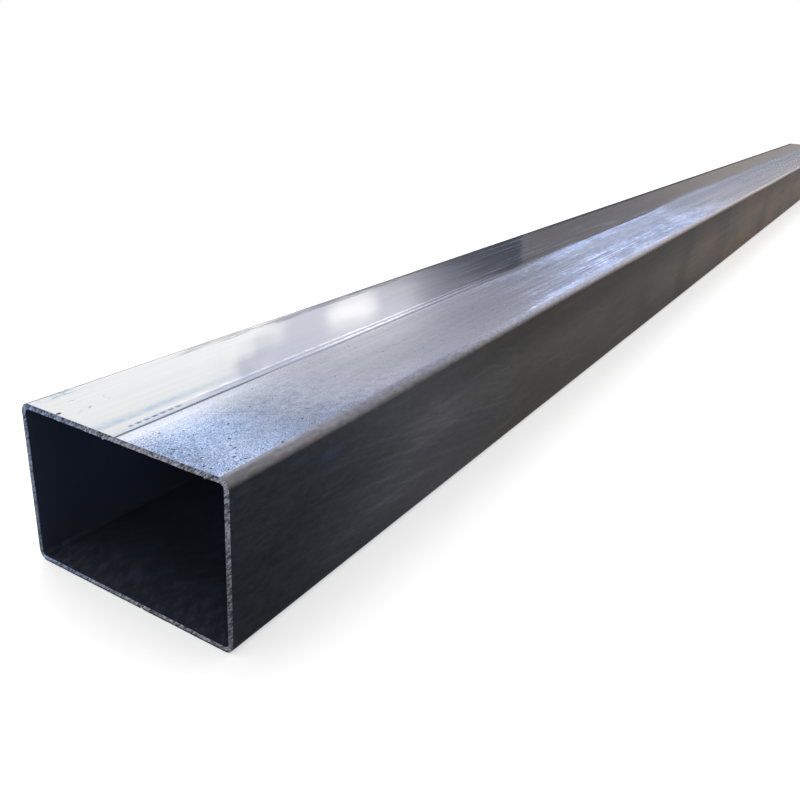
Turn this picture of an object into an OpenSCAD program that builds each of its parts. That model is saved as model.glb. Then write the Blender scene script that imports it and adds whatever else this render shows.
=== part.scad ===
// Rectangular structural steel tube, cold formed from strip and closed by one
// lengthwise weld, sawn square at both ends and lying on one of its wide faces.
// The tube runs along Y. The origin is under its middle, on the floor.

/* [Section] */
// Width of the section across its wide faces
tube_w = 150; // [90:1:200]
// Height of the section as it lies
tube_h = 100; // [60:1:150]
// Thickness of the wall all round
wall_t = 3.2; // [2:0.1:6]
// Inside radius of the four bends
bend_r = 2.8; // [1:0.1:8]

/* [Length] */
// Length between the two sawn ends
tube_l = 3000; // [500:10:6000]

/* [Weld seam] */
// Width of the planed strip along the weld on the top face
seam_w = 5; // [3:0.5:10]
// Depth of the planed strip below the top face
seam_d = 0.15; // [0.05:0.05:0.5]
// Distance of the strip from the middle of the top face, towards +X
seam_x = -2.5; // [-15:0.5:15]

/* [Hidden] */
// Bends are true arcs, drawn with this many sides in a preview
$fn = 96;
// How far a cut reaches past the face that it opens
overcut = 1;
// Outside radius of the bends
corner_r = bend_r + wall_t;
mill_steel = [0.36, 0.37, 0.41];

// Outline w wide and h high with four round corners, centred on X and standing on the X axis
module rounded_outline(w, h, r) {
    translate([-w / 2, r]) square([w, h - 2 * r]);
    translate([-w / 2 + r, 0]) square([w - 2 * r, h]);
    for (x = [-w / 2 + r, w / 2 - r], y = [r, h - r])
        translate([x, y]) circle(r = r);
}

// The strip that the scarfing tool planes off over the weld
module seam_cut() {
    translate([seam_x - seam_w / 2, tube_h - seam_d])
        square([seam_w, seam_d + overcut]);
}

module section() {
    difference() {
        rounded_outline(tube_w, tube_h, corner_r);
        translate([0, wall_t])
            rounded_outline(tube_w - 2 * wall_t, tube_h - 2 * wall_t, bend_r);
        seam_cut();
    }
}

module tube() {
    color(mill_steel)
        translate([0, tube_l / 2, 0])
            rotate([90, 0, 0])
                linear_extrude(height = tube_l)
                    section();
}

tube();
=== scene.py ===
"""Looks of a rectangular steel tube: its rolled skin, weld, sawn ends and bore, and the studio round it.

Laid out as a Blender add-on. Run as a script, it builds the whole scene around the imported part.
"""
import math

import bmesh
import bpy
from bpy.props import FloatProperty, FloatVectorProperty, IntProperty, PointerProperty
from mathutils import Matrix, Vector, noise


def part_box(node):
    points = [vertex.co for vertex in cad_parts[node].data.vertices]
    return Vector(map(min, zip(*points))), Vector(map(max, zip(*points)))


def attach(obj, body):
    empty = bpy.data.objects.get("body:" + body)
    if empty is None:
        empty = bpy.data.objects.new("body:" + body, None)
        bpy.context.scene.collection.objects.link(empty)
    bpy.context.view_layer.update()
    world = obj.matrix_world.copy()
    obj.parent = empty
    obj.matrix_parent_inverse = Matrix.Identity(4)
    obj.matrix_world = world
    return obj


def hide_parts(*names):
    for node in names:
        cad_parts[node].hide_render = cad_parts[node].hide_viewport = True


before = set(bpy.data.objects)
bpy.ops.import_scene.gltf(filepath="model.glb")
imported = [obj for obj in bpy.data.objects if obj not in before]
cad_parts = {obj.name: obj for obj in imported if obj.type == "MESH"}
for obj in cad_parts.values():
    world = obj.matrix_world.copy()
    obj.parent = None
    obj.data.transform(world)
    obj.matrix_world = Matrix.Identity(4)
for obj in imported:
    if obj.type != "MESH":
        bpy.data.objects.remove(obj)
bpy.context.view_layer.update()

bl_info = {
    "name": "Rectangular steel tube",
    "version": (1, 0, 0),
    "blender": (4, 5, 0),
    "location": "3D View > Sidebar > Steel tube",
    "description": "A welded rectangular steel tube with sawn ends, and a studio for it",
    "category": "Object",
}

NODE = "tube"
MM = 0.001
FRONT_LOW, BACK_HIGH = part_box(NODE)
WHOLE = BACK_HIGH - FRONT_LOW


# Sizes and colours

def size(name, description, default):
    return FloatProperty(name=name, description=description, default=default, unit="LENGTH", precision=5)


def colour(name, description, default):
    return FloatVectorProperty(name=name, description=description, default=default, subtype="COLOR",
                               min=0.0, max=1.0)


class STEELTUBE_PG_sizes(bpy.types.PropertyGroup):
    """Sizes of the tube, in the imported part's frame"""

    width: size("Width", "Outside width of the section", WHOLE.x)
    height: size("Height", "Outside height of the section", WHOLE.z)
    length: size("Length", "Length between the sawn ends", WHOLE.y)
    wall: size("Wall", "Thickness of the wall", 3.2 * MM)
    bend: size("Bend radius", "Inside radius of the four bends", 2.8 * MM)
    seam_left: size("Seam left", "Left edge of the planed strip over the weld", -5.0 * MM)
    seam_right: size("Seam right", "Right edge of the planed strip", 0.0)
    seam_depth: size("Seam depth", "Depth of the planed strip", 0.15 * MM)
    bend_steps: IntProperty(name="Bend steps", description="Facets round each bend", default=8, min=3, max=16)


class STEELTUBE_PG_colours(bpy.types.PropertyGroup):
    """Colours of the tube's finishes"""

    rolled: colour("Rolled skin", "Bright skin of the top face", (0.36, 0.37, 0.41))
    plain: colour("Plain skin", "Greyer skin behind the oil film", (0.362, 0.352, 0.362))
    faded: colour("Far skin", "Warmer skin at the far right", (0.54, 0.50, 0.46))
    film: colour("Oil film", "Bluish film at the front right", (0.243, 0.307, 0.440))
    thin_film: colour("Thin film", "The film near the right edge", (0.270, 0.315, 0.402))
    dull_film: colour("Dull film", "The film where it runs out", (0.192, 0.205, 0.245))
    haze: colour("Haze", "Scuffed patch right of the weld", (0.36, 0.40, 0.52))
    scuff: colour("Scuff", "Slanting scuffs and the haze's last bar", (0.60, 0.64, 0.74))
    frost: colour("Frost", "Brightest grains of the haze", (0.64, 0.69, 0.82))
    # Painted highlight: a bright strip on the top face beside the right bend
    edge_highlight: colour("Rubbed edge", "Worn skin beside the right bend", (0.62, 0.66, 0.77))
    blued: colour("Blued line", "Line beside the weld in the haze", (0.40, 0.50, 0.78))
    temper: colour("Temper blue", "Blue that the weld's heat left", (0.065, 0.175, 0.30))
    root: colour("Weld root", "Dark line along the weld", (0.050, 0.085, 0.15))
    # Painted highlights: bright lines beside the weld
    highlights: colour("Weld lips", "Bright beads beside the weld", (0.74, 0.73, 0.77))
    speck: colour("Speck", "Specks at the front right", (0.045, 0.085, 0.17))
    dirt: colour("Dirt", "Matt dirt on the top face", (0.020, 0.028, 0.045))
    scale: colour("Mill scale", "Dark skin of the sides and the underside", (0.050, 0.050, 0.056))
    old_scale: colour("Browner scale", "The scale further back", (0.0535, 0.0510, 0.0470))
    # Its darkness near the front end is partly painted shade
    blue_scale_and_shade: colour("Bluer scale", "The scale near the front end", (0.036, 0.044, 0.062))
    spot: colour("Blue spot", "Spot high on the right side", (0.040, 0.058, 0.100))
    bloom: colour("Rust bloom", "Brown that tints the scale", (0.100, 0.060, 0.036))
    bend: colour("Bend", "Rubbed skin of the upper bends", (0.23, 0.22, 0.23))
    far_bend: colour("Far bend", "Warmer skin further back", (0.255, 0.230, 0.212))
    grime: colour("Grime", "Matt dirt on the left bend", (0.022, 0.024, 0.030))
    sawn: colour("Sawn steel", "Cut steel of the ends", (0.150, 0.158, 0.190))
    # Bluer towards the left of the cut: partly the steel's own tint, partly a painted reflection of the sky
    blue_cut_and_sky: colour("Tinted cut", "Bluer steel at the left of the cut", (0.115, 0.150, 0.235))
    # Partly painted shade: darker than the scale outside
    bore: colour("Bore", "Dark inside of the tube", (0.015, 0.023, 0.048))
    bore_floor: colour("Bore floor", "Greyer skin low in the bore", (0.026, 0.028, 0.036))


# Material nodes

class Value:
    """One socket in a node tree. Arithmetic on it adds Math nodes."""

    def __init__(self, finish, socket):
        self.finish = finish
        self.socket = socket

    def __add__(self, other):
        return self.finish.math("ADD", self, other)

    def __sub__(self, other):
        return self.finish.math("SUBTRACT", self, other)

    def __rsub__(self, other):
        return self.finish.math("SUBTRACT", other, self)

    def __mul__(self, other):
        return self.finish.math("MULTIPLY", self, other)

    def __truediv__(self, other):
        return self.finish.math("DIVIDE", self, other)

    def __rtruediv__(self, other):
        return self.finish.math("DIVIDE", other, self)

    def __abs__(self):
        return self.finish.math("ABSOLUTE", self)

    __radd__ = __add__
    __rmul__ = __mul__


class Finish:
    """The node tree of a material or world, written as expressions.

    Places are in mm: across and up from the middle of the underside, along from the front end.
    """

    def __init__(self, block):
        self.block = block
        block.use_nodes = True
        self.tree = block.node_tree
        self.tree.nodes.clear()
        self.place = self.node("ShaderNodeTexCoord", output="Object")
        split = self.node("ShaderNodeSeparateXYZ", inputs={"Vector": self.place})
        self.across = split * (1 / MM)
        self.along = (self.other(split, "Y") - FRONT_LOW.y) * (1 / MM)
        self.up = self.other(split, "Z") * (1 / MM)

    def node(self, kind, settings=None, inputs=None, output=0):
        """Adds one node: its settings first, then the values or links of its sockets"""
        made = self.tree.nodes.new(kind)
        for name, value in (settings or {}).items():
            setattr(made, name, value)
        for name, value in (inputs or {}).items():
            if isinstance(value, Value):
                self.tree.links.new(value.socket, made.inputs[name])
            else:
                made.inputs[name].default_value = value
        return Value(self, made.outputs[output]) if made.outputs else None

    def other(self, value, output):
        """Another output of the node that a value comes from"""
        return Value(self, value.socket.node.outputs[output])

    def math(self, operation, *values):
        return self.node("ShaderNodeMath", {"operation": operation}, dict(enumerate(values)))

    def most(self, first, *others):
        """The largest of several values"""
        for other in others:
            first = self.math("MAXIMUM", first, other)
        return first

    def distance(self, x, y):
        return self.math("SQRT", x * x + y * y)

    def rise(self, value, low, high):
        """0 below low, 1 above high and a smooth step between"""
        settings = {"interpolation_type": "SMOOTHSTEP"}
        inputs = {"Value": value, "From Min": low, "From Max": high}
        return self.node("ShaderNodeMapRange", settings, inputs)

    def fall(self, value, low, high):
        return 1.0 - self.rise(value, low, high)

    def after(self, low, high):
        """0 nearer the front end than low, 1 further along than high"""
        return self.rise(self.along, low, high)

    def until(self, low, high):
        return 1.0 - self.after(low, high)

    def strip(self, value, low, high, soft):
        """1 from low to high, with edges this soft"""
        half = soft / 2
        return self.rise(value, low - half, low + half) * self.fall(value, high - half, high + half)

    def patch(self, across, along, place):
        """1 over a place given as low, high and softness, first across and then along"""
        return self.strip(across, *place[0]) * self.strip(along, *place[1])

    def grain(self, scale, detail=3.0, rough=0.5, turn=(0, 0, 0), seed=0.0):
        """Noise about 0.5 with so many features to the metre along X, Y and Z, turned by degrees"""
        place = self.place
        if any(turn):
            inputs = {"Vector": place, "Rotation": tuple(math.radians(a) for a in turn)}
            place = self.node("ShaderNodeMapping", {"vector_type": "POINT"}, inputs)
        place = self.node("ShaderNodeVectorMath", {"operation": "MULTIPLY"}, {0: place, 1: scale})
        inputs = {"Vector": place, "W": seed, "Scale": 1.0, "Detail": detail, "Roughness": rough}
        return self.node("ShaderNodeTexNoise", {"noise_dimensions": "4D"}, inputs, "Fac")

    def mix(self, share, low, high):
        """The colour low where share is 0 and high where it is 1"""
        low, high = (c if isinstance(c, Value) else (*c, 1) for c in (low, high))
        settings = {"data_type": "RGBA", "clamp_factor": True}
        return self.node("ShaderNodeMix", settings, {0: share, 6: low, 7: high}, 2)

    def shade(self, colour, amount):
        """A colour made darker or lighter by a number"""
        return self.node("ShaderNodeVectorMath", {"operation": "SCALE"}, {0: colour, "Scale": amount})

    def bump(self, height, distance):
        """A normal from a height, of which 1 is this many metres"""
        return self.node("ShaderNodeBump", inputs={"Height": height, "Distance": distance}, output="Normal")

    def seen(self):
        """1 for a ray that shows the thing itself or mirrors it, 0 for one that carries light"""
        rays = self.node("ShaderNodeLightPath", output="Is Camera Ray")
        return self.most(rays, self.other(rays, "Is Glossy Ray"), self.other(rays, "Is Transmission Ray"))

    def close(self, surface):
        """Sends a shader to the output and returns the finished material or world"""
        world = isinstance(self.block, bpy.types.World)
        kind = "ShaderNodeOutputWorld" if world else "ShaderNodeOutputMaterial"
        self.node(kind, inputs={"Surface": surface})
        return self.block

    def steel(self, colour, rough, normal, others=None):
        """Bare metal, with values for other sockets where it needs them"""
        inputs = {"Base Color": colour, "Metallic": 1.0, "Roughness": rough, "Normal": normal}
        return self.node("ShaderNodeBsdfPrincipled", inputs={**inputs, **(others or {})})

    def soiled(self, share, skin, dirt):
        """A shader with matt dirt of this colour over it, as thick as share tells"""
        inputs = {"Base Color": (*dirt, 1), "Roughness": 0.9, "Specular IOR Level": 0.05}
        matt = self.node("ShaderNodeBsdfPrincipled", inputs=inputs)
        return self.node("ShaderNodeMixShader", inputs={0: share, 1: skin, 2: matt})


# Stretches of the top face, in mm across or along, over which a change comes in

WELD_SIDE = (-5.0, -0.5)
FAR_STRETCH = (900.0, 1300.0)
FILM_ACROSS = (0.0, 30.0)
FILM_ENDS = (20.0, 165.0)
FILM_THINS = (38.0, 58.0)
FILM_DULLS = (30.0, 95.0)
FILM_LONGER = (38.0, 62.0)
HAZE_STARTS = (500.0, 640.0)
HAZE_STARTS_SOONER = (30.0, 60.0)
HAZE_STOPS = (980.0, 1120.0)
HAZE_STOPS_LATER = (30.0, 62.0)
FADED_ACROSS = (-5.0, 62.0)
RIM_ENDS = (3.0, 30.0)
SPECKS_ACROSS = (-8.0, 40.0)
SPECKS_THIN = (15.0, 130.0)
SPECKS_STOP = (90.0, 260.0)
PITS_ACROSS = (-8.0, 12.0)
PITS_STOP = (300.0, 600.0)
TINT_STOPS = (50.0, 120.0)
ROOT_WEAKENS = (90.0, 150.0)
ROOT_FADES = (280.0, 420.0)
ROOT_STOPS = (500.0, 1100.0)
ROOT_DRIES = (70.0, 150.0)
# The next three: where the painted highlights beside the weld start and grow stronger
LEFT_GLINT_STARTS = (120.0, 190.0)
RIGHT_GLINT_STARTS = (170.0, 240.0)
GLINTS_STRENGTHEN = (170.0, 230.0)
HEM_ACROSS = (-67.0, -60.0)
HEM_STARTS = (520.0, 900.0)
STREAKS_SHOW = (250.0, 500.0)
BACK_STRETCH = (550.0, 950.0)
LINES_ROUGHEN = (330.0, 480.0)

# Strips of the top face: low, high and softness in mm

ROOT_LINE = (-1.5, 0.4, 0.8)
DASH_LINE = (-5.8, -4.2, 0.8)
TINT_BAND = (-19.5, -11.0, 3.0)
TINT_CORE = (-17.0, -12.4, 3.0)
# The next four: painted highlights beside the weld, and the stretch along that they cover
OUTER_GLINT = (-8.9, -6.9, 1.2)
LEFT_GLINT = (-4.6, -2.4, 1.0)
RIGHT_GLINT = (0.9, 2.5, 1.0)
GLINTS_ALONG = (60.0, 450.0, 120.0)
HAZE_EARLY = (5.0, 46.0, 12.0)
HAZE_BAR = (940.0, 985.0, 40.0)
HAZE_GAP = (12.0, 31.0, 9.0)
PLAIN_ALONG = (110.0, 410.0, 90.0)
STREAKS_STRONG = (370.0, 640.0, 140.0)
PALE_ALONG = (220.0, 470.0, 120.0)
DULL_ALONG = (45.0, 230.0, 60.0)
STREAKED_ALONG = (190.0, 300.0, 60.0)
HATCH_ACROSS = (28.0, 64.0, 10.0)
RIM_ACROSS = (8.0, 68.0, 12.0)
FRONT_WASH = (-73.0, -62.0, 5.0)

# Patches of the top face: low, high and softness in mm, across and along

BARE_PATCH = ((12.0, 31.0, 8.0), (600.0, 930.0, 120.0))
# The next patch is a painted highlight beside the right bend
EDGE_HIGHLIGHT_PATCH = ((61.5, 70.0, 4.0), (550.0, 1010.0, 60.0))
BLUED_PATCH = ((0.6, 4.2, 2.0), (560.0, 980.0, 90.0))
SEAM_EDGE = ((-6.6, -5.2, 0.8), (85.0, 420.0, 60.0))
STAIN = ((-12.5, -1.5, 3.0), (390.0, 560.0, 90.0))
SMEAR = ((-69.0, -63.5, 2.5), (8.0, 28.0, 10.0))
TICKS = ((-58.0, -34.0, 10.0), (10.0, 36.0, 10.0))
LEFT_STREAKS = ((-71.5, -62.0, 4.0), (95.0, 430.0, 90.0))
PALE_BY_WELD = ((-15.0, -3.0, 8.0), (650.0, 1000.0, 150.0))
RULED_PATCH = ((36.0, 62.0, 8.0), (430.0, 900.0, 120.0))

# Single marks on the top face: middles in mm, across and along, and the scrape's slope in degrees

SCRAPE_PLACE = (28.0, 62.0)
SCRAPE_SLOPE = 50.0
NICK_PLACE = (-45.6, 1.9)
NICK_SQUASH = 0.7746

# Dashes along the weld's left edge: places along in mm, and how far each leans for every mm across

DASH_START = 13.0
DASH_STOP = 50.0
DASH_PITCH = 5.6
DASH_LEAN = 0.5

# Depth of the skins' grain in metres
RELIEF = 0.03 * MM


class TopSkin(Finish):
    """Bright rolled skin of the top face: a mirror left of the weld, filmed and scuffed right of it"""

    def __init__(self, colours):
        super().__init__(bpy.data.materials.new("top_skin"))
        self.colours = colours
        self.fine = self.grain((420.0, 4.0, 1.0), 4.0, 0.6)
        self.drawn = self.grain((900.0, 12.0, 1.0), 2.0, 0.6, seed=9.0) - 0.5
        self.broad = self.grain((70.0, 1.6, 1.0), 3.0, 0.5, seed=1.0) - 0.5
        self.cloud = self.grain((24.0, 9.0, 1.0), 3.0, 0.5, seed=3.0) - 0.5
        self.mottle = self.grain((230.0, 150.0, 1.0), 4.0, 0.65, seed=5.0) - 0.5
        self.lines = self.grain((380.0, 5.0, 1.0), 3.0, 0.6, seed=33.0) - 0.5
        self.wobble = self.grain((30.0, 18.0, 1.0), 2.0, 0.5, seed=7.0) - 0.5
        self.line = self.across + self.wobble
        self.far = self.after(*FAR_STRETCH)
        self.right = self.rise(self.line / (1.0 + self.far * 4.5), *WELD_SIDE)
        grit = self.grain((1100.0, 560.0, 1.0), 4.0, 0.75, turn=(0, 0, -30), seed=15.0) - 0.5
        self.grit = grit * (1.0 - self.far)
        self.set_zones()
        self.set_marks()

    def ragged(self, value, mottle=0.0, cloud=0.0, lines=0.0):
        """A place moved to and fro by noise of these heights in mm"""
        for field, height in ((self.mottle, mottle), (self.cloud, cloud), (self.lines, lines)):
            if height:
                value = value + field * height
        return value

    def set_zones(self):
        """Shares of the oil film near the front, and of the haze further on, which start and end raggedly"""
        wet = self.ragged(self.along, 110.0, 160.0) - self.rise(self.across, *FILM_LONGER) * 45.0
        self.filmed = self.fall(wet, *FILM_ENDS) * self.rise(self.line, *FILM_ACROSS)
        start = self.ragged(self.along, 330.0, 260.0) + self.broad * 420.0
        start = start + self.rise(self.across, *HAZE_STARTS_SOONER) * 130.0
        self.start = start + self.strip(self.across, *HAZE_EARLY) * 70.0
        stop = self.ragged(self.along, 260.0, 300.0, 420.0)
        stop = stop - self.rise(self.across, *HAZE_STOPS_LATER) * 170.0
        self.haze = self.rise(self.start, *HAZE_STARTS) * self.fall(stop, *HAZE_STOPS) * self.right
        bare = self.patch(self.ragged(self.across, cloud=14.0), self.ragged(self.along, 120.0), BARE_PATCH)
        self.scuffs = self.haze * (1.0 - bare * 0.7)
        patches = self.grain((60.0, 12.0, 1.0), 3.0, 0.6, seed=27.0) + self.broad * 0.5
        gap = self.strip(self.ragged(self.across, cloud=16.0), *HAZE_GAP)
        self.patches = self.rise(patches, 0.40, 0.58) * (1.0 - gap * 0.8)

    def set_marks(self):
        """Shares of the marks that both the colour and the dirt need: root line, dashes, specks and pits"""
        root = self.strip(self.across + self.wobble * 0.5, *ROOT_LINE)
        weaker = self.after(*ROOT_WEAKENS) * 0.4 + self.after(*ROOT_FADES) * 0.22
        self.root = root * (0.95 - weaker + self.drawn) * self.until(*ROOT_STOPS)
        dash = self.math("FRACT", (self.along - (self.across + 4.7) * DASH_LEAN) / DASH_PITCH)
        dash = self.strip(dash, 0.2, 0.82, 0.2) * self.strip(self.line, *DASH_LINE)
        dash = dash * self.strip(self.along, DASH_START, DASH_STOP, 2.0)
        self.dash = dash * (0.8 + self.cloud * 1.2 + self.mottle * 1.5)
        thick = self.until(*SPECKS_THIN) * self.rise(self.across, *SPECKS_ACROSS) * self.right
        speck = self.grain((1300.0, 800.0, 1.0), 2.0, 0.6, seed=13.0)
        self.rimmed = self.until(*RIM_ENDS) * self.strip(self.across, *RIM_ACROSS)
        specks = self.rise(speck + thick * 0.08 + self.rimmed * 0.11, 0.60, 0.68)
        self.specks = specks * self.until(*SPECKS_STOP) * self.right
        self.dots = self.rise(speck + self.rimmed * 0.05, 0.65, 0.70)
        stray = self.grain((420.0, 330.0, 1.0), 1.0, 0.5, seed=19.0)
        pits = self.rise(stray + thick * 0.06, 0.725, 0.75)
        self.pits = pits * self.rise(self.across, *PITS_ACROSS) * self.until(*PITS_STOP)

    def film_over(self, skin):
        """Greyer skin right of the weld, and the bluish oil film near the front"""
        plain = self.right * self.strip(self.ragged(self.along, cloud=60.0), *PLAIN_ALONG)
        film = self.mix(self.rise(self.across, *FILM_THINS), self.colours.film, self.colours.thin_film)
        dulled = self.rise(self.ragged(self.along, 60.0, 80.0), *FILM_DULLS)
        film = self.mix(dulled, film, self.colours.dull_film)
        return self.mix(self.filmed, self.mix(plain, skin, self.colours.plain), film)

    def haze_over(self, skin):
        """The haze: worn patches, slanting scuffs, bright grains, a bar at its end, a blued line, and a
        painted highlight beside the right bend
        """
        worn = self.rise(self.mottle + self.drawn, -0.12, 0.16)
        slants = self.grain((260.0, 14.0, 1.0), 3.0, 0.6, turn=(0, 0, 28), seed=11.0)
        slants = self.rise(slants, 0.54, 0.64) * self.haze
        frost = self.rise(self.grain((330.0, 46.0, 1.0), 3.0, 0.7, seed=21.0), 0.46, 0.60) * self.haze
        bar = self.strip(self.ragged(self.along, 200.0, 240.0, 160.0), *HAZE_BAR) * self.haze
        # Painted highlight: a bright strip beside the right bend
        edge_highlight = self.patch(self.ragged(self.across, 14.0), self.start, EDGE_HIGHLIGHT_PATCH)
        blued = self.patch(self.line, self.ragged(self.along, 90.0), BLUED_PATCH)
        faded = self.far * self.rise(self.across, *FADED_ACROSS)
        colours = self.colours
        skin = self.mix(self.scuffs * (0.15 + worn * 0.3 + self.patches * 0.55), skin, colours.haze)
        skin = self.mix(self.most(slants * 0.45, bar * 0.7), skin, colours.scuff)
        skin = self.mix(frost * (0.3 + self.patches * 0.5), skin, colours.frost)
        skin = self.mix(edge_highlight * (0.25 + worn * 0.5), skin, colours.edge_highlight)
        skin = self.mix(blued * 0.6, skin, colours.blued)
        return self.mix(faded * 0.75, skin, colours.faded)

    def weld_over(self, skin):
        """Heat tint, dashes and the dark root line along the weld, and painted highlights beside it"""
        band = self.strip(self.line, *TINT_BAND) * 0.12
        core = self.strip(self.ragged(self.line, 3.0), *TINT_CORE) * (0.3 + self.broad * 0.2)
        worn = 0.75 + self.rise(self.mottle + self.drawn, -0.1, 0.14) * 0.75
        band = (band + core) * self.fall(self.ragged(self.along, 40.0), *TINT_STOPS) * worn
        edge_line = self.patch(self.line, self.ragged(self.along, 60.0), SEAM_EDGE) * 0.3
        skin = self.mix(self.most(band, self.dash, self.front_smears()), skin, self.colours.temper)
        skin = self.mix(self.most(self.root, edge_line), skin, self.colours.root)
        # Painted highlights: bright ragged lines beside the weld stand in for the reflections that its edges
        # catch
        glints = self.grain((260.0, 110.0, 1.0), 3.0, 0.6, seed=35.0) - 0.5
        outer_glint = self.strip(self.line + glints * 3.5, *OUTER_GLINT)
        glint_line = self.line + glints * 4.0
        left_glint = self.strip(glint_line, *LEFT_GLINT) * self.after(*LEFT_GLINT_STARTS)
        right_glint = self.strip(glint_line, *RIGHT_GLINT) * self.after(*RIGHT_GLINT_STARTS) * 0.35
        strength = 0.45 + self.after(*GLINTS_STRENGTHEN) * 0.45 + glints * 2.0
        highlights = self.most(outer_glint, left_glint, right_glint) * self.strip(self.along, *GLINTS_ALONG) * strength
        return self.mix(highlights, skin, self.colours.highlights)

    def front_smears(self):
        """A blue smear, slanting ticks and a faint wash at the front left"""
        across = self.across + self.wobble * 4.0
        smear = self.patch(across, self.ragged(self.along, 30.0), SMEAR)
        smear = smear * self.rise(self.drawn + self.mottle, -0.08, 0.03) * 0.9
        ticks = self.grain((420.0, 120.0, 1.0), 2.0, 0.6, turn=(0, 0, -32), seed=37.0)
        ticks = self.rise(ticks, 0.62, 0.67) * self.patch(self.across, self.along, TICKS) * 0.6
        wash = self.strip(self.line, *FRONT_WASH) * self.until(20.0, 75.0) * 0.07
        return self.most(smear, ticks, wash)

    def scraped(self):
        """A double scrape that crosses the right half: how much lighter or darker it is"""
        slope = math.radians(SCRAPE_SLOPE)
        off_x = self.across - SCRAPE_PLACE[0]
        off_y = self.along - SCRAPE_PLACE[1]
        aside = abs(off_x * math.cos(slope) - off_y * math.sin(slope)) + self.grit * 2.0
        reach = self.fall(abs(off_x * math.sin(slope) + off_y * math.cos(slope)), 10.0, 26.0)
        groove = self.strip(aside, 1.0, 2.2, 0.9) * reach
        shine = self.fall(aside, 0.2, 1.0) * reach
        return 1.0 + shine * 0.14 - groove * 0.24

    def streaked(self):
        """How much the lines along the tube and the mottling lighten or darken the skin"""
        stronger = self.after(*STREAKS_SHOW) * 0.5 + self.strip(self.along, *STREAKS_STRONG) * 0.5
        far_right = self.right * self.far
        fine = (self.fine - 0.5) * (0.16 + stronger) * (1.0 - far_right * 0.9)
        drawn = self.drawn * (0.07 + self.right * (0.20 - self.far * 0.20))
        broad = self.broad * self.after(*BACK_STRETCH) * (0.35 - far_right * 0.2)
        ruled = self.patch(self.across, self.along, RULED_PATCH)
        lines = self.lines * (0.25 + self.scuffs + ruled * 1.6) + self.drawn * ruled * 1.1
        mottle = self.mottle * (0.34 + self.filmed * 0.9 - self.far * 0.28)
        grit = self.grit * (0.6 + self.filmed * 2.6 + self.scuffs * 1.6)
        right = self.right * ((1.0 - self.far) * lines + mottle + grit)
        patchy = self.scuffs * ((self.patches - 0.5) * 0.22 + self.cloud * 0.5)
        return fine + drawn + self.cloud * 0.12 + broad + right + patchy

    def shaded_broadly(self):
        """How much lighter or darker whole places are, with painted highlights near the front end right of
        the weld
        """
        by_weld = self.patch(self.line, self.along, PALE_BY_WELD) * 0.22
        beside = self.strip(self.line, -30.0, -3.0, 18.0) - self.fall(self.across, -75.0, -25.0)
        back = self.after(*BACK_STRETCH) * beside * 0.2
        inner = self.fall(self.across, 14.0, 32.0) * self.strip(self.along, 170.0, 420.0, 70.0)
        # Painted highlights near the front end, just right of the weld
        mouth = self.strip(self.line, 4.0, 22.0, 12.0) * self.until(45.0, 80.0)
        seam_side = self.strip(self.line, 1.2, 8.0, 2.0) * self.until(70.0, 125.0)
        pale = self.strip(self.along, *PALE_ALONG) + inner + mouth + seam_side
        outer = self.rise(self.ragged(self.across, cloud=8.0), 52.0, 60.0) * self.until(300.0, 500.0)
        dull = self.strip(self.along, *DULL_ALONG)
        return by_weld + back + self.right * (self.far * 0.2 + pale * 0.14 + outer * 0.12 - dull * 0.06)

    def soil(self):
        """Share of matt dirt: left edge, stain, nick, dashes, pits, hatching, root line and front rim"""
        ragged = self.grain((150.0, 13.0, 1.0), 4.0, 0.65, seed=23.0)
        ragged = self.rise(ragged + self.strip(self.along, *STREAKED_ALONG) * 0.06, 0.47, 0.57)
        edge = self.patch(self.across + self.wobble * 6.0, self.along, LEFT_STREAKS) * ragged
        hem = self.fall(self.across, *HEM_ACROSS) * self.after(*HEM_STARTS)
        stain = self.patch(self.across + self.wobble * 3.0, self.along, STAIN)
        stain = stain * self.rise(self.grain((330.0, 16.0, 1.0), 3.0, 0.6, seed=31.0), 0.40, 0.52)
        off_y = (self.along - NICK_PLACE[1]) * NICK_SQUASH
        nick = self.fall(self.distance(self.across - NICK_PLACE[0], off_y), 0.9, 1.4)
        hatch = self.grain((330.0, 60.0, 1.0), 2.0, 0.6, turn=(0, 0, 34), seed=41.0)
        hatch = self.rise(hatch, 0.64, 0.70) * self.scuffs * self.strip(self.across, *HATCH_ACROSS)
        wetted = self.root * self.until(*ROOT_DRIES)
        return self.most(edge * 0.42, hem * 0.75, stain * 0.255, nick * 0.95, self.dash * 0.4,
                         self.pits * 0.85, hatch * 0.4, wetted * 0.45, self.dots * self.rimmed * 0.5)

    def material(self):
        skin = self.weld_over(self.haze_over(self.film_over(self.colours.rolled)))
        skin = self.mix(self.specks * 0.7, skin, self.colours.speck)
        tone = 0.93 + self.streaked() + self.shaded_broadly()
        skin = self.shade(skin, tone * (1.0 - self.pits * 0.8) * self.scraped())
        rough = 0.07 + self.fine * 0.03 + self.right * (0.18 + self.broad * 0.12)
        rough = rough + self.scuffs * 0.08 + self.specks * 0.1
        lined = self.rise(self.lines, 0.02, 0.16) * self.after(*LINES_ROUGHEN)
        rough = rough + lined * (1.0 - self.far) * 0.10
        relief = self.mottle * (0.15 + self.right * 0.6) + self.grit * self.right * 0.5
        relief = relief + self.fine * (0.12 + self.right * 0.3) - self.pits * 0.8
        steel = self.steel(skin, rough, self.bump(relief * (1.0 - self.far * 0.92), RELIEF))
        return self.close(self.soiled(self.soil(), steel, self.colours.dirt))


# Sides: places in mm, along from the front end and up from the underside

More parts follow.
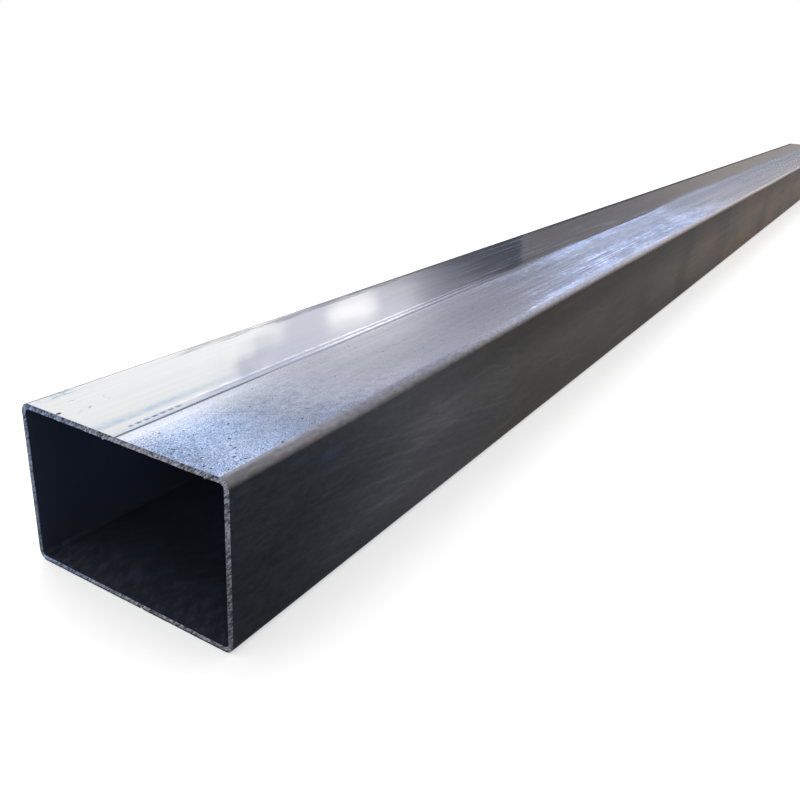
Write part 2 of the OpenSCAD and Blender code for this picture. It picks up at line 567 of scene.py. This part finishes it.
# Where the painted shade near the front end of the sides gives way
FRONT_SHADE_ENDS = (5.0, 230.0)
SIDE_DISTANT = (500.0, 1100.0)
SLANTS_UP = (18.0, 80.0, 24.0)
SLANTS_ALONG = (95.0, 330.0, 110.0)
HANGING_STARTS = (450.0, 1000.0)
SHADED_UP = (58.0, 86.0)
SHADED_STARTS = (120.0, 300.0)
SCALE_BROWNS = (160.0, 400.0)
# Where the bluer scale, darker as painted shade, gives way near the front
BLUE_SHADE_ENDS = (40.0, 200.0)
RUST_STARTS = (760.0, 1560.0)
SPOT_PLACE = (81.0, 82.0)
SPOT_SIZE = (15.0, 7.0)
BEND_UP = (94.2, 98.6)
BEND_LIGHTENS = ((0.0, 60.0, 0.3), (200.0, 1200.0, 0.6), (150.0, 350.0, 0.5), (900.0, 1700.0, 0.5))
GRIME_STARTS = (480.0, 1000.0)


class SideSkin(Finish):
    """Dark scale on the sides and the underside, worn bare and brighter on the upper bends"""

    def __init__(self, colours):
        super().__init__(bpy.data.materials.new("side_skin"))
        self.colours = colours
        self.streaks = self.grain((90.0, 5.0, 240.0), 4.0, 0.6)
        self.cloud = self.grain((20.0, 7.0, 30.0), 3.0, 0.55, seed=2.0)
        self.grit = self.grain((420.0, 160.0, 420.0), 3.0, 0.6, seed=8.0) - 0.5
        self.normal = self.bump(self.streaks + self.grit * 0.5, RELIEF)

    def shifted(self, value, height):
        """A place moved to and fro by clouds of this height in mm"""
        return value + (self.cloud - 0.5) * height

    def scale_tone(self):
        """How light the scale is: streaked, with slanting scuffs, hanging stains, a darker upper part and
        painted shade that darkens it towards the front end
        """
        scuff = self.rise(self.grain((110.0, 12.0, 170.0), 3.0, 0.6, seed=4.0), 0.52, 0.70)
        # Painted shade: the sides darker near the front end
        past_front_shade = self.after(*FRONT_SHADE_ENDS)
        distant = self.after(*SIDE_DISTANT)
        drawn = ((self.streaks - 0.3) * 0.4 + scuff * 0.25) * (0.25 + past_front_shade * 0.75) * (1.0 - distant * 0.5)
        slants = self.rise(self.grain((1.0, 15.0, 230.0), 4.0, 0.6, turn=(12, 0, 0), seed=5.0), 0.46, 0.66)
        slants = slants * self.strip(self.shifted(self.up, 60.0), *SLANTS_UP)
        slants = slants * self.strip(self.along, *SLANTS_ALONG)
        hanging = self.rise(self.grain((1.0, 7.0, 3.0), 3.0, 0.65, seed=12.0), 0.48, 0.62)
        hanging = hanging * self.after(*HANGING_STARTS)
        shaded = self.rise(self.shifted(self.up, 36.0), *SHADED_UP) * self.after(*SHADED_STARTS)
        tone = 0.36 + past_front_shade * 0.7 + drawn + slants * 0.27 + self.grit * 0.5 + distant * 0.07
        return tone * (1.0 - shaded * 0.38) * (0.62 + self.cloud * 0.76) * (1.08 - hanging * 0.32)

    def scaled(self):
        """The scale itself: bluer near the front, and darker there as painted shade, with one blue spot, and
        rustier further back
        """
        colours = self.colours
        early = self.fall(self.shifted(self.along, 260.0), *SCALE_BROWNS)
        skin = self.mix(early, colours.old_scale, colours.scale)
        skin = self.mix(self.until(*BLUE_SHADE_ENDS) * 0.6, skin, colours.blue_scale_and_shade)
        off_y = (self.along - SPOT_PLACE[0]) / SPOT_SIZE[0]
        off_z = (self.up - SPOT_PLACE[1]) / SPOT_SIZE[1]
        spot = self.fall(self.distance(off_y, off_z), 0.2, 1.0) * self.rise(self.across, 0.0, 40.0)
        skin = self.mix(spot * 0.55, skin, colours.spot)
        rust = self.rise(self.shifted(self.along, 900.0), *RUST_STARTS)
        rust = rust * (0.55 + self.rise(self.cloud, 0.42, 0.62) * 0.45)
        skin = self.shade(self.mix(rust, skin, colours.bloom), self.scale_tone())
        dim_edges = {"Specular Tint": (0.55, 0.55, 0.55, 1)}
        return self.steel(skin, 0.36 + self.streaks * 0.14, self.normal, dim_edges)

    def bare_bend(self):
        """Bare steel of the upper bends, lighter further back"""
        tone = 0.5 + self.streaks * 0.3
        for start, stop, gain in BEND_LIGHTENS:
            tone = tone + self.after(start, stop) * gain
        tone = tone * (1.0 + self.grit * 1.3)
        skin = self.mix(self.after(250.0, 900.0), self.colours.bend, self.colours.far_bend)
        return self.steel(self.shade(skin, tone), 0.34 + self.streaks * 0.16, self.normal)

    def material(self):
        height = self.up + (self.streaks - 0.5) * 1.5 - self.after(100.0, 420.0)
        left = self.fall(self.across, -40.0, 40.0) * self.after(250.0, 700.0)
        share = self.rise(height, *BEND_UP) * (1.0 - left * 0.9)
        skin = self.node("ShaderNodeMixShader", inputs={0: share, 1: self.scaled(), 2: self.bare_bend()})
        soil = self.fall(self.across, -60.0, -50.0) * self.rise(self.up, 90.0, 96.0)
        soil = soil * self.after(*GRIME_STARTS)
        return self.close(self.soiled(soil * 0.85, skin, self.colours.grime))


def sawn_end(colours):
    """Sawn steel of the cut ends, with the saw's slanted strokes; its lighter top and bluer left are partly a
    painted reflection of the sky, with a painted highlight along the top edge and painted shade at the
    top-left corner
    """
    f = Finish(bpy.data.materials.new("sawn_end"))
    half_width = WHOLE.x / MM / 2
    half_height = WHOLE.z / MM / 2
    strokes = f.grain((800.0, 1.0, 150.0), 2.0, 0.6, turn=(0, -45, 0), seed=1.0)
    nicks = f.grain((1900.0, 1.0, 500.0), 2.0, 0.6, turn=(0, -45, 0), seed=3.0)
    marks = f.rise(strokes * 0.4 + nicks * 0.6, 0.40, 0.60)
    off_middle = abs(f.up - half_height)
    depth = f.math("MINIMUM", half_width - abs(f.across), half_height - off_middle)
    top_edge = f.rise(f.up, 92.0, 97.0)
    inner = f.rise(off_middle, 45.5, 47.0) * f.rise(depth, 1.0, 2.2) * 0.3
    inner = inner * (1.0 + f.fall(f.up, 10.0, 20.0) * 1.2)
    low = f.fall(f.up, 4.0, 9.0) * f.fall(depth, 0.9, 1.9)
    # Painted shade along the outer edge at the top-left corner
    burr = f.fall(depth, 0.15, 0.5) * f.fall(f.across, -68.0, -58.0) * top_edge
    # Painted highlight along the outer edge of the top wall
    shine = f.fall(depth, 0.12, 0.45) * f.strip(f.across, -45.0, 50.0, 20.0) * top_edge
    # Lighter towards the top, partly as a painted reflection of the sky, and lighter on the bottom wall
    height = 0.62 + f.rise(f.up, 10.0, 100.0) * 0.4 + f.fall(f.up, 3.0, 6.0) * 0.3
    height = (height + inner) * (1.0 - low * 0.5) * (1.0 - burr * 0.7)
    # Bluer towards the left: partly the steel's tint, partly a painted reflection of the sky
    skin = f.mix(f.fall(f.across, -74.0, 20.0), colours.sawn, colours.blue_cut_and_sky)
    skin = f.shade(skin, height * (0.15 + marks * 1.45) + shine * 0.7)
    return f.close(f.steel(skin, 0.40 + nicks * 0.2, f.bump(marks, 0.06 * MM)))


def bore_skin(colours):
    """Dark skin of the inside, partly painted shade, and lightened further in as painted light; bluest on the
    sides and scuffed along the floor near the mouth
    """
    f = Finish(bpy.data.materials.new("bore_skin"))
    cloud = f.grain((18.0, 9.0, 18.0), 4.0, 0.6)
    streaks = f.grain((190.0, 60.0, 90.0), 4.0, 0.7, turn=(0, 0, 24), seed=6.0)
    floor = f.fall(f.up, 3.6, 6.5)
    worn = f.rise(f.grain((230.0, 95.0, 90.0), 5.0, 0.7, turn=(0, 0, -28), seed=16.0), 0.45, 0.66)
    scuffs = f.rise(streaks, 0.42, 0.66) * f.until(30.0, 190.0)
    scuffs = floor * (scuffs + worn * f.until(6.0, 48.0) * 2.4)
    # Painted light: lighter further in, where less light reaches the bore's sides and floor
    deep_sides = f.after(12.0, 80.0) * (1.0 - floor)
    deep_floor = f.after(50.0, 120.0) * floor
    tone = 0.5 + cloud * 0.8 + scuffs * 0.5 + (deep_sides + deep_floor) * 1.3
    skin = f.mix(f.fall(f.up, 4.0, 26.0) * 0.6, colours.bore, colours.bore_floor)
    rough = 0.48 + streaks * 0.2
    inputs = {"Base Color": f.shade(skin, tone), "Roughness": rough, "Specular IOR Level": 0.36}
    return f.close(f.node("ShaderNodeBsdfPrincipled", inputs=inputs))


# Mesh of the tube: steps and lengths in metres, spans across in mm

TOP, SIDE, CUT, BORE = range(4)
RIM_CUTS = 5
SIDE_STEPS = 20
COARSE = 3.8 * MM
FINE = 0.8 * MM
FINE_SPANS = ((-48.0, -44.0), (-12.0, -7.0), (-6.4, 1.2), (7.2, 10.8), (58.4, 61.6))
MERGE_REACH = 0.01 * MM
MOUTH = 0.06
LAST_SLICE = 0.006
FRONT_ROWS = ((MOUTH, 40), (0.42, 60), (1.5, 90))

# Unevenness of the skin in mm. A wave is a height in mm, sizes across and along in metres, and a seed.
LEAST_SINK = 0.02
MEAN_SINK = 0.05
SLOW_WAVE = (0.08, 0.05, 0.16, 3.7)
QUICK_WAVE = (0.04, 0.02, 0.06, 9.1)
DASH_DEPTH = 0.05

# Sawn ends in mm: wear, waves, and the front end's burrs and lower nick as middle across and reach
CUT_BACK = 0.09
OUTER_WEAR = 0.16
INNER_WEAR = 0.1
CUT_WAVE = (0.05, 0.012, 1.0, 5.5)
RAGGED_WAVES = ((0.16, 0.0012, 1.0, 2.2), (0.12, 0.004, 1.0, 8.8))
TOP_BURRS = ((-10.0, 1.5), (60.0, 1.4))
LOWER_NICK = (9.0, 1.3)


def rounded_outline(bm, width, height, radius, steps):
    """A closed wire in the plane of the front end: a rectangle with four round corners"""
    stand = Matrix.Translation((0, FRONT_LOW.y, height / 2)) @ Matrix.Rotation(math.pi / 2, 4, "X")
    stand = stand @ Matrix.Diagonal((width, height, 1, 1))
    corners = bmesh.ops.create_grid(bm, x_segments=1, y_segments=1, size=0.5, matrix=stand)["verts"]
    bmesh.ops.bevel(bm, geom=corners, offset=radius, offset_type="OFFSET", affect="VERTICES",
                    segments=steps, profile=0.5, material=-1)
    bmesh.ops.delete(bm, geom=list(bm.faces), context="FACES_ONLY")


def add_columns(bm, xs, zs):
    """Cuts the wire across and up at these places, where the lines along the tube begin"""
    for axis, places in ((Vector((1, 0, 0)), xs), (Vector((0, 0, 1)), zs)):
        for place in places:
            bmesh.ops.bisect_plane(bm, geom=[*bm.verts, *bm.edges], dist=1e-7, plane_co=axis * place,
                                   plane_no=axis)


def extrude(bm, ring, material):
    """Extrudes a ring of edges in place, and returns its new points and edges"""
    made = bmesh.ops.extrude_edge_only(bm, edges=ring)["geom"]
    points = {g for g in made if isinstance(g, bmesh.types.BMVert)}
    for face in (g for g in made if isinstance(g, bmesh.types.BMFace)):
        face.material_index = material
    return points, [g for g in made if isinstance(g, bmesh.types.BMEdge) and points.issuperset(g.verts)]


def draw_along(bm, ring, runs, material):
    """Draws a ring out along Y in runs of (end in metres from the front, rows), and returns its last ring"""
    here = 0.0
    for end, rows in runs:
        points, ring = extrude(bm, ring, material)
        bmesh.ops.translate(bm, verts=list(points), vec=(0, end - here, 0))
        lines = {e for v in points for e in v.link_edges} - set(ring)
        bmesh.ops.subdivide_edges(bm, edges=list(lines), cuts=rows - 1, use_grid_fill=True)
        here = end
    return ring


def draw_in(bm, ring, sizes):
    """Draws a ring in over the sawn wall, and returns the ring round the bore"""
    points, ring = extrude(bm, ring, CUT)
    for point in points:
        point.co -= skin_of(sizes, point.co)[1] * sizes.wall
    return ring


def spread(low, high):
    """Places across from low to high: coarse steps, and fine ones where the skin or the cut has details"""
    places = [low]
    while places[-1] < high - FINE:
        here = places[-1] / MM
        near = any(start - 0.5 < here < stop for start, stop in FINE_SPANS)
        coming = [start for start, stop in FINE_SPANS if start > here + 0.5]
        step = FINE if near else min([COARSE] + [max(FINE, (start - here) * MM) for start in coming])
        places.append(min(high, places[-1] + step))
    return places


def skin_of(sizes, point):
    """How deep a point of the section lies under the outline, and which way is out there"""
    corner = sizes.bend + sizes.wall
    rise = point.z - sizes.height / 2
    over_x = abs(point.x) - sizes.width / 2 + corner
    over_z = abs(rise) - sizes.height / 2 + corner
    out_x = Vector((math.copysign(1, point.x), 0, 0))
    out_z = Vector((0, 0, math.copysign(1, rise)))
    if over_x > 0 and over_z > 0:
        reach = math.hypot(over_x, over_z)
        return corner - reach, (out_x * over_x + out_z * over_z) / reach
    if over_x > over_z:
        return corner - over_x, out_x
    return corner - over_z, out_z


def wave(point, height, across, along, seed):
    """Slow noise up to this height either way, with features of these sizes in metres"""
    return height * noise.noise(Vector((point.x / across + seed, point.y / along, point.z / across)))


def smooth(value, low, high):
    """0 below low, 1 above high and a smooth step between"""
    share = min(1.0, max(0.0, (value - low) / (high - low)))
    return share * share * (3 - 2 * share)


def hump(value, middle, reach):
    """1 at the middle, falling smoothly to 0 at this reach either side"""
    return 1 - smooth(abs(value - middle), 0, reach)


def sink(sizes, point, out):
    """How far the skin lies below its plane at a point, in mm"""
    deep = max(LEAST_SINK, MEAN_SINK + wave(point, *SLOW_WAVE) + wave(point, *QUICK_WAVE))
    if out.z > 0.999:
        x = point.x / MM
        along = (point.y - FRONT_LOW.y) / MM
        left, right = sizes.seam_left / MM, sizes.seam_right / MM
        seam = 0.3 * smooth(x, left - 3.0, right - 2.2) + 0.7 * smooth(x, right - 1.8, right - 0.9)
        seam *= 1 - smooth(x, right - 0.4, right + 0.2)
        deep += seam * sizes.seam_depth / MM
        if DASH_START < along < DASH_STOP:
            deep += DASH_DEPTH * hump(x, left, 1.3) * hump((along / DASH_PITCH) % 1.0, 0.5, 0.42)
    return deep


def end_shape(point, depth, out, wall):
    """How a sawn end departs from its plane: inwards along Y, and towards the bore, in mm"""
    x = point.x / MM
    outer_edge = 1 - smooth(depth, 0.0, 0.5)
    inner_edge = smooth(depth, wall - 0.4, wall)
    inner = smooth(depth, wall - 0.8, wall)
    back = CUT_BACK + wave(point, *CUT_WAVE) + OUTER_WEAR * outer_edge + INNER_WEAR * inner_edge
    inwards = inner * sum(wave(point, *ragged) for ragged in RAGGED_WAVES)
    front = point.y < 0
    if out.z > 0.999 and front:
        curl = max(hump(x, *burr) for burr in TOP_BURRS)
        inwards += inner * curl * 0.8
        back -= inner * curl * 0.08
    if out.z < -0.999 and front:
        inwards += (1 - smooth(depth, 0.0, 1.6)) * hump(x, *LOWER_NICK) * 1.1
    return back, inwards


def build_shell(bm, sizes):
    """One closed shell along the outside, over the back end, back through the bore and over the front end"""
    corner = sizes.bend + sizes.wall
    flat_x = sizes.width / 2 - corner
    flat_z = sizes.height / 2 - corner
    xs = spread(-flat_x, flat_x)
    zs = [corner + 2 * flat_z * i / SIDE_STEPS for i in range(1, SIDE_STEPS)]
    length = sizes.length
    back_rows = ((length - LAST_SLICE, 9), (length, 4))
    rows_out = (*FRONT_ROWS, (length - MOUTH, 72), *back_rows)
    rows_in = ((LAST_SLICE, 4), (MOUTH, 9), (length - MOUTH, 56), *back_rows)
    rounded_outline(bm, sizes.width, sizes.height, corner, sizes.bend_steps)
    add_columns(bm, xs[1:-1], zs)
    front = list(bm.edges)
    back = draw_along(bm, front, rows_out, SIDE)
    meeting = draw_in(bm, back, sizes) + draw_along(bm, draw_in(bm, front, sizes), rows_in, BORE)
    bmesh.ops.remove_doubles(bm, verts=list({v for e in meeting for v in e.verts}), dist=MERGE_REACH)
    rim = [e for e in bm.edges if any(f.material_index == CUT for f in e.link_faces)]
    bmesh.ops.subdivide_edges(bm, edges=rim, cuts=RIM_CUTS, use_grid_fill=True, use_single_edge=True)
    bmesh.ops.recalc_face_normals(bm, faces=bm.faces)


def build_tube(sizes):
    """The whole tube, with its finishes' faces told apart and its skin and sawn ends made uneven"""
    bm = bmesh.new()
    build_shell(bm, sizes)
    for face in bm.faces:
        face.smooth = True
        if face.material_index == SIDE and min(v.co.z for v in face.verts) > sizes.height - MERGE_REACH:
            face.material_index = TOP
    for edge in bm.edges:
        edge.smooth = len({f.material_index == CUT for f in edge.link_faces}) == 1
    rims = {v for f in bm.faces if f.material_index == CUT for v in f.verts}
    for vert in bm.verts:
        depth, out = skin_of(sizes, vert.co)
        moved = -out * sink(sizes, vert.co, out)
        if vert in rims:
            back, inwards = end_shape(vert.co, depth / MM, out, sizes.wall / MM)
            moved += Vector((0, -math.copysign(back, vert.co.y), 0)) - out * inwards
        vert.co += moved * MM
    mesh = bpy.data.meshes.new("steel_tube")
    bm.to_mesh(mesh)
    bm.free()
    return mesh


class STEELTUBE_OT_tube(bpy.types.Operator):
    """Builds the tube with its sawn ends and weld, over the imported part"""

    bl_idname = "steeltube.make_tube"
    bl_label = "Make the tube"

    def execute(self, context):
        mesh = build_tube(context.scene.steeltube_sizes)
        colours = context.scene.steeltube_colours
        mesh.materials.append(TopSkin(colours).material())
        mesh.materials.append(SideSkin(colours).material())
        mesh.materials.append(sawn_end(colours))
        mesh.materials.append(bore_skin(colours))
        tube = bpy.data.objects.new("steel_tube", mesh)
        context.scene.collection.objects.link(tube)
        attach(tube, "root")
        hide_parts(NODE)
        return {"FINISHED"}


# Studio: sizes and places in metres

FLOOR_SIZE = 60.0
FLOOR_WHITE = 0.8
FLOOR_GLOW = 0.5
WORLD_LIGHT = 0.7
CARD_SIZE = (18.0, 7.6)
CARD_PLACE = (-6.0, 6.0, 4.0)
LAMP_PLACE = (-1.2, -0.5, 2.2)
LAMP_AIM = (0.0, -0.6, 0.0)
LAMP_SIZE = 2.0
LAMP_WATTS = 30.0
CAMERA_PLACE = (0.3057, -1.7463, 0.2806)
CAMERA_AZIMUTH = 30.11
CAMERA_ELEVATION = 22.39
CAMERA_ROLL = 3.48
CAMERA_LENS = 36.687

# Light of the shapes that the card holds

LOW_WALL = (0.38, 0.355, 0.33)
HIGH_WALL = (0.235, 0.225, 0.235)
LOW_SKY = (1.35, 1.32, 1.42)
HIGH_SKY = (0.80, 0.98, 1.34)
GREY_CLOUD = (0.60, 0.60, 0.70)
SKYLIGHT = (1.7, 1.95, 2.6)
PILLAR = (0.1, 0.115, 0.145)
PILLAR_EDGE = (0.45, 0.46, 0.50)
BRIGHT_PATCH = (2.5, 2.44, 2.3)
WINDOW = (2.1, 2.07, 1.94)
WISP = (0.88, 0.90, 1.06)

# The bright patch and the two wisps as the top face mirrors them: middle, then size, in mm across and along

PATCH_PLACE = (-39.0, 266.0)
PATCH_SIZE = (20.0, 36.0)
PATCH_LEAN = 0.9
WISPS = (((-15.0, 117.0), (8.0, 13.0)), ((-24.0, 141.0), (7.0, 9.0)))


def floor_paint():
    """Pale and matt; its glow, which only cameras and mirrors see, lifts it to white and leaves the shadow"""
    f = Finish(bpy.data.materials.new("studio_floor"))
    matt = f.node("ShaderNodeBsdfDiffuse", inputs={"Color": (FLOOR_WHITE, FLOOR_WHITE, FLOOR_WHITE, 1)})
    glow = f.node("ShaderNodeEmission", inputs={"Strength": f.seen() * FLOOR_GLOW})
    return f.close(f.node("ShaderNodeAddShader", inputs={0: matt, 1: glow}))


def mirrored_place(x, z):
    """Where on the top face, in mm across and along, the camera sees a place of the card"""
    camera_x, camera_y, camera_z = CAMERA_PLACE
    above = camera_z - WHOLE.z
    reach = (z + (above - WHOLE.z)) / above
    top_x = camera_x / MM + (x - camera_x) / reach * (1 / MM)
    top_y = (CARD_PLACE[1] - camera_y) / MM / reach - (FRONT_LOW.y - camera_y) / MM
    return top_x, top_y


def card_paint():
    """Shapes for the top face to mirror: a window, sky, clouds, a dark pillar and a plain wall"""
    f = Finish(bpy.data.materials.new("mirror_card"))
    warp = f.grain((0.9, 1.0, 0.9), 3.0, 0.55) - 0.5
    curls = f.grain((2.6, 1.0, 2.6), 3.0, 0.55, seed=5.0) - 0.5
    plain_x = f.across * MM
    plain_z = f.up * MM
    x = plain_x + warp * 0.6
    z = plain_z + warp * 0.35
    wall = f.mix(f.rise(plain_z, 0.6, 1.1), LOW_WALL, HIGH_WALL)
    sky = f.mix(f.rise(z, 3.1, 4.7), LOW_SKY, HIGH_SKY)
    paint = f.mix(f.rise(z, 1.7, 2.6), wall, sky)
    paint = f.mix(f.strip(plain_x, -4.0, -1.0, 0.5) * f.strip(z, 2.0, 3.6, 0.4), paint, GREY_CLOUD)
    skylight = f.strip(plain_x, -2.35, -0.4, 0.5) * f.strip(plain_z, 2.0, 3.3, 0.4)
    paint = f.mix(skylight, paint, SKYLIGHT)
    side = plain_x - (plain_z - 1.4) * 0.17
    pillar = f.rise(x, -4.45, -3.25) * f.fall(side, -2.90, -2.86) * f.fall(z, 1.7, 2.4)
    paint = f.mix(pillar, paint, PILLAR)
    paint = f.mix(f.strip(side, -2.89, -2.85, 0.03) * f.fall(z, 1.6, 1.9) * 0.5, paint, PILLAR_EDGE)
    top_x, top_y = mirrored_place(plain_x, plain_z)
    off_x = top_x - PATCH_PLACE[0]
    off_y = top_y - PATCH_PLACE[1] + off_x * PATCH_LEAN
    blob = f.distance(off_x / PATCH_SIZE[0], off_y / PATCH_SIZE[1]) + curls * 0.9
    paint = f.mix(f.fall(blob, 0.65, 1.1), paint, BRIGHT_PATCH)
    rise = f.most(z - 3.2, 0.0)
    window = x + rise * 0.65 + rise * rise * 0.16 + curls * 2.2
    paint = f.mix(f.fall(window, -6.35, -5.85), paint, WINDOW)
    for (wisp_x, wisp_y), (size_x, size_y) in WISPS:
        wisp = f.distance((top_x - wisp_x) / size_x, (top_y - wisp_y) / size_y) + curls * 0.7
        paint = f.mix(f.fall(wisp, 0.55, 1.05), paint, WISP)
    return f.close(f.node("ShaderNodeEmission", inputs={"Color": paint}))


def stage_plane(context, name, width, depth, place, paint):
    """A flat rectangle that belongs to the studio"""
    bm = bmesh.new()
    bmesh.ops.create_grid(bm, x_segments=1, y_segments=1, size=0.5,
                          matrix=place @ Matrix.Diagonal((width, depth, 1, 1)))
    mesh = bpy.data.meshes.new(name)
    bm.to_mesh(mesh)
    bm.free()
    mesh.materials.append(paint)
    thing = bpy.data.objects.new(name, mesh)
    context.scene.collection.objects.link(thing)
    return thing


def make_world():
    """A white surround that gives a little less light than it shows"""
    f = Finish(bpy.data.worlds.new("studio_world"))
    strength = WORLD_LIGHT + f.seen() * (1.0 - WORLD_LIGHT)
    return f.close(f.node("ShaderNodeBackground", inputs={"Color": (1, 1, 1, 1), "Strength": strength}))


def hang_card(context):
    """The painted card behind the tube, which only mirroring rays see"""
    upright = Matrix.Translation(CARD_PLACE) @ Matrix.Rotation(math.pi / 2, 4, "X")
    card = stage_plane(context, "mirror_card", *CARD_SIZE, upright, card_paint())
    card.visible_camera = False
    card.visible_diffuse = False
    card.visible_transmission = False
    card.visible_shadow = False


def set_lamp(context):
    lamp = bpy.data.lights.new("key_lamp", "AREA")
    lamp.shape = "SQUARE"
    lamp.size = LAMP_SIZE
    lamp.energy = LAMP_WATTS
    key = bpy.data.objects.new("key_lamp", lamp)
    key.location = LAMP_PLACE
    key.rotation_mode = "QUATERNION"
    key.rotation_quaternion = (Vector(LAMP_AIM) - key.location).to_track_quat("-Z", "Y")
    context.scene.collection.objects.link(key)


def set_camera(context):
    eye = bpy.data.cameras.new("studio_camera")
    eye.sensor_width = 36.0
    eye.lens = CAMERA_LENS
    eye.clip_start = 0.01
    eye.clip_end = 200.0
    camera = bpy.data.objects.new("studio_camera", eye)
    azimuth = Matrix.Rotation(math.radians(CAMERA_AZIMUTH), 4, "Z")
    elevation = Matrix.Rotation(math.radians(90 - CAMERA_ELEVATION), 4, "X")
    roll = Matrix.Rotation(math.radians(CAMERA_ROLL), 4, "Z")
    camera.matrix_world = Matrix.Translation(CAMERA_PLACE) @ azimuth @ elevation @ roll
    context.scene.collection.objects.link(camera)
    context.scene.camera = camera


class STEELTUBE_OT_stage(bpy.types.Operator):
    """Sets up the floor, the mirrored card, the lamp and the camera"""

    bl_idname = "steeltube.set_stage"
    bl_label = "Set the stage"

    def execute(self, context):
        context.scene.view_settings.view_transform = "Standard"
        context.scene.world = make_world()
        stage_plane(context, "studio_floor", FLOOR_SIZE, FLOOR_SIZE, Matrix.Identity(4), floor_paint())
        hang_card(context)
        set_lamp(context)
        set_camera(context)
        return {"FINISHED"}


class STEELTUBE_PT_panel(bpy.types.Panel):
    """Lists the tube's sizes, its colours and the two makers"""

    bl_idname = "STEELTUBE_PT_panel"
    bl_label = "Steel tube"
    bl_space_type = "VIEW_3D"
    bl_region_type = "UI"
    bl_category = "Steel tube"

    def draw(self, context):
        for group in (context.scene.steeltube_sizes, context.scene.steeltube_colours):
            box = self.layout.box()
            for name in type(group).__annotations__:
                box.prop(group, name)
        for maker in (STEELTUBE_OT_tube, STEELTUBE_OT_stage):
            self.layout.operator(maker.bl_idname)


CLASSES = (
    STEELTUBE_PG_sizes,
    STEELTUBE_PG_colours,
    STEELTUBE_OT_tube,
    STEELTUBE_OT_stage,
    STEELTUBE_PT_panel,
)


def register():
    for kind in CLASSES:
        bpy.utils.register_class(kind)
    bpy.types.Scene.steeltube_sizes = PointerProperty(type=STEELTUBE_PG_sizes)
    bpy.types.Scene.steeltube_colours = PointerProperty(type=STEELTUBE_PG_colours)


def unregister():
    del bpy.types.Scene.steeltube_colours
    del bpy.types.Scene.steeltube_sizes
    for kind in reversed(CLASSES):
        bpy.utils.unregister_class(kind)


def main():
    register()
    bpy.ops.steeltube.make_tube()
    bpy.ops.steeltube.set_stage()


if __name__ == "__main__":
    main()
